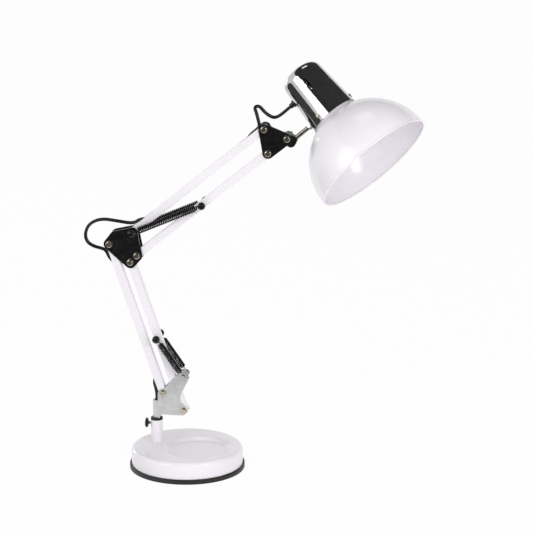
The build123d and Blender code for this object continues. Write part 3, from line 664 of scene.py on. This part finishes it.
def make_lead():
    line = smooth_line(elbow_route)
    outlet, turn, inlet = (part_way(line, share) for share in (0.14, 0.53, 0.88))
    upper = ("elbow_lead_upper", "elbow_lead", line[: turn + 1], ("top_bar", "elbow"))
    lower = ("elbow_lead_lower", "elbow_lead", line[turn:], ("elbow", "rear_bar"))
    lead_stretch(*upper, line[outlet], line[turn])
    lead_stretch(*lower, line[turn], line[inlet])

    line = smooth_line(head_route)
    outlet, fold, dip, inlet = (part_way(line, share) for share in (0.24, 0.38, 0.68, 0.93))
    at_bar = ("head_lead_bar", "head_lead", line[: fold + 1], ("top_bar", "head_bracket"))
    at_fold = ("head_lead_fold", "head_lead", line[fold : dip + 1], ("head_bracket", "stem"))
    at_cup = ("head_lead_cup", "head_lead", line[dip:], ("stem", "head"))
    lead_stretch(*at_bar, line[outlet], line[fold])
    lead_stretch(*at_fold, line[fold], line[dip])
    lead_stretch(*at_cup, line[dip], line[inlet])

    line = smooth_line(foot_route)
    outlet, inlet = (part_way(line, share) for share in (0.35, 0.85))
    drop = ("foot_lead_drop", "foot_lead", line, ("rear_bar", "bracket"))
    lead_stretch(*drop, line[outlet], line[inlet])


# Clamp knob

# In millimetres, the profiles as (radius, distance from the knob's face)
knob_radius = 5.9
stud_radius = 1.72
knob_profile = [
    (0, 0.5), (2.6, 0.5), (3.3, 0.2), (4.4, 0.02), (5.0, 0.1), (5.6, 0.5), (knob_radius, 1.0),
    (knob_radius, 2.6), (5.5, 3.2), (4.6, 3.5), (2.9, 3.6), (2.8, 4.4), (2.5, 4.6), (0, 4.6),
]
stud_profile = [(0, 4.4), (stud_radius, 4.4), (stud_radius, 11.0), (1.3, 11.4), (0, 11.4)]
rib_radius = 0.36
rib_length = 2.0
rib_distance = 1.8
rib_count = 40


def make_clamp_knob():
    """A ribbed black knob with a dished face, on a threaded steel stud."""
    low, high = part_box("thumb_screw")
    centre = Vector((low.x, (low.y + high.y) / 2, (low.z + high.z) / 2))
    along = Vector((1, 0, 0))
    plastic = finishes["black_plastic"]
    knob_metres = [(r * mm, x * mm) for r, x in knob_profile]
    stud_metres = [(r * mm, x * mm) for r, x in stud_profile]
    knob = turned_mesh("clamp_knob", knob_metres, centre, along, plastic)
    stud = turned_mesh("clamp_stud", stud_metres, centre, along, thread_finish)
    sizes = {
        "Count": rib_count,
        "Ring": knob_radius * mm,
        "Rib": rib_radius * mm,
        "Length": rib_length * mm,
    }
    empty = bpy.data.meshes.new("ribs")
    mesh = grown("clamp_knob_ribs", empty, rib_tree(plastic), sizes)
    on_its_side = Matrix.Rotation(math.pi / 2, 4, "Y")
    mesh.transform(Matrix.Translation(centre + along * (rib_distance * mm)) @ on_its_side)
    for piece in (knob, stud, new_piece("clamp_knob_ribs", mesh)):
        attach(piece, "clamp_screw")
        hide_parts("thumb_screw")


# Studio

# Fitted to the photograph: angles in degrees, focal length in pixels of its width
camera_turn = 8.592
camera_rise = 15.62
camera_place = (0.6467, -3.58723, 1.2889)
focal_pixels = 2946.1
picture_pixels = 533
sensor_width = 36

# How much of the floor is plain white to the camera, the rest being lit paper
paper_white = 0.955
# The world's light on matt surfaces, beside 1 for what the camera sees
world_fill = 0.6

floor_reach = 9
room_left = -3.5
room_right = 4.5
room_front = -5.0
room_back = 6.0
room_height = 3.2
# Dark cards that lie just over the floor, and one that stands to the right
card_lift = 0.002
card_left = -3.0
card_right = 3.5
card_near_lamp = -0.32
card_behind_lamp = 0.3
wall_right = 3.0
wall_back = 2.4


def make_camera():
    turn = math.radians(camera_turn)
    rise = math.radians(camera_rise)
    level = math.cos(rise)
    back = Vector((math.sin(turn) * level, -math.cos(turn) * level, math.sin(rise)))
    right = Vector((math.cos(turn), math.sin(turn), 0))
    data = bpy.data.cameras.new("camera")
    data.sensor_width = sensor_width
    data.lens = focal_pixels / picture_pixels * sensor_width
    data.clip_start = 0.05
    data.clip_end = 60
    camera = new_piece("camera", data)
    turned = Matrix((right, back.cross(right), back)).transposed().to_4x4()
    camera.matrix_world = Matrix.Translation(camera_place) @ turned
    bpy.context.scene.camera = camera


def straight_rays(made):
    """1 for what the camera sees, straight or in metal and glass."""
    names = ("Is Camera Ray", "Is Glossy Ray", "Is Transmission Ray")
    camera, glossy, through = (made.add("ShaderNodeLightPath", out=name) for name in names)
    return camera | glossy | through


def white_paper():
    """White to the camera, with a little of its own shade and so of the lamp's shadow."""
    look = Finish("white_paper")
    grain = look.shades(look.clouds(scale=30, detail=3), (0.88,) * 3, (0.9,) * 3)
    matt = look.add("ShaderNodeBsdfDiffuse", {}, {"Color": grain})
    white = look.add("ShaderNodeEmission", {}, {"Strength": 1.0})
    share = straight_rays(look) * paper_white
    both = look.add("ShaderNodeMixShader", {}, {0: share, 1: matt, 2: white})
    look.add("ShaderNodeOutputMaterial", {}, {"Surface": both})
    look.material.cycles.emission_sampling = "NONE"
    return look.material


def black_card():
    look = Finish("black_card")
    grain = look.shades(look.clouds(scale=3), (0.05,) * 3, (0.07,) * 3)
    return look.surface(base_color=grain, roughness=0.9)


def panel(name, corners, finish):
    piece = new_mesh(name, corners, [(0, 1, 2, 3)], finish)
    return piece


def dark_panel(name, corners, finish):
    """A dark part of the room, which only shiny pieces see."""
    piece = panel(name, corners, finish)
    piece.visible_camera = False
    piece.visible_diffuse = False
    piece.visible_shadow = False
    piece.visible_transmission = False


def level_corners(low, high, z):
    (left, front), (right, back) = low, high
    return [(left, front, z), (right, front, z), (right, back, z), (left, back, z)]


def wall_corners(start, end):
    return [(*start, 0), (*end, 0), (*end, room_height), (*start, room_height)]


def make_room():
    floor = level_corners((-floor_reach, -floor_reach), (floor_reach, floor_reach), 0)
    panel("floor", floor, white_paper())
    card = black_card()
    ceiling = level_corners((room_left, room_front), (room_right, room_back), room_height)
    front_floor = level_corners((card_left, room_front), (card_right, card_near_lamp), card_lift)
    left_floor = level_corners(
        (card_left, card_near_lamp), (card_near_lamp, card_behind_lamp), card_lift
    )
    front_wall = wall_corners((room_left, room_front), (room_right, room_front))
    right_wall = wall_corners((wall_right, room_front), (wall_right, wall_back))
    dark_panel("dark_ceiling", ceiling, card)
    dark_panel("dark_front_floor", front_floor, card)
    dark_panel("dark_left_floor", left_floor, card)
    dark_panel("dark_front", front_wall, card)
    dark_panel("dark_right", right_wall, card)


def make_world():
    world = bpy.data.worlds.new("studio")
    world.use_nodes = True
    made = Nodes(world.node_tree)
    fill = made.add("ShaderNodeBackground", {}, {"Color": (1, 1, 1, 1), "Strength": world_fill})
    white = made.add("ShaderNodeBackground", {}, {"Color": (1, 1, 1, 1), "Strength": 1.0})
    both = made.add("ShaderNodeMixShader", {}, {0: straight_rays(made), 1: fill, 2: white})
    made.add("ShaderNodeOutputWorld", {}, {"Surface": both})
    bpy.context.scene.world = world


def soft_box(name, place, aim, size, power):
    """A flat rectangular lamp turned to what it lights."""
    data = bpy.data.lights.new(name, "AREA")
    data.shape = "RECTANGLE"
    data.size, data.size_y = size
    data.energy = power
    light = new_piece(name, data)
    away = Vector(place) - Vector(aim)
    turned = away.to_track_quat("Z", "Y").to_matrix().to_4x4()
    light.matrix_world = Matrix.Translation(place) @ turned
    return light


def make_lights():
    head = Vector((0.22, 0.0, 0.44))
    body = Vector((0.05, 0.0, 0.25))
    soft_box("key", head + Vector((-1.15, -1.25, 0.47)), head, size=(0.7, 0.95), power=6)
    soft_box("back_strip", head + Vector((-1.57, 1.24, -0.04)), head, size=(0.22, 0.55), power=2)
    soft_box("window", head + Vector((1.04, -1.22, 0.5)), head, size=(0.5, 0.7), power=8)
    soft_box("overhead", (-0.25, 0.45, 2.5), (0, 0, 0), size=(0.8, 0.6), power=2.5)
    soft_fills = (
        soft_box("front_fill", body + Vector((0.2, -2.6, 0.1)), body, size=(1.4, 0.6), power=7),
        soft_box("high_fill", body + Vector((0.1, -1.9, 2.2)), body, size=(1.4, 1.2), power=3),
        soft_box("low_fill", (1.25, -0.9, 0.22), head, size=(0.8, 0.36), power=2),
    )
    for fill in soft_fills:
        fill.visible_glossy = False


dress_solids()
make_springs()
make_lead()
make_clamp_knob()
make_camera()
make_room()
make_world()
make_lights()
bpy.context.scene.view_settings.view_transform = "Standard"
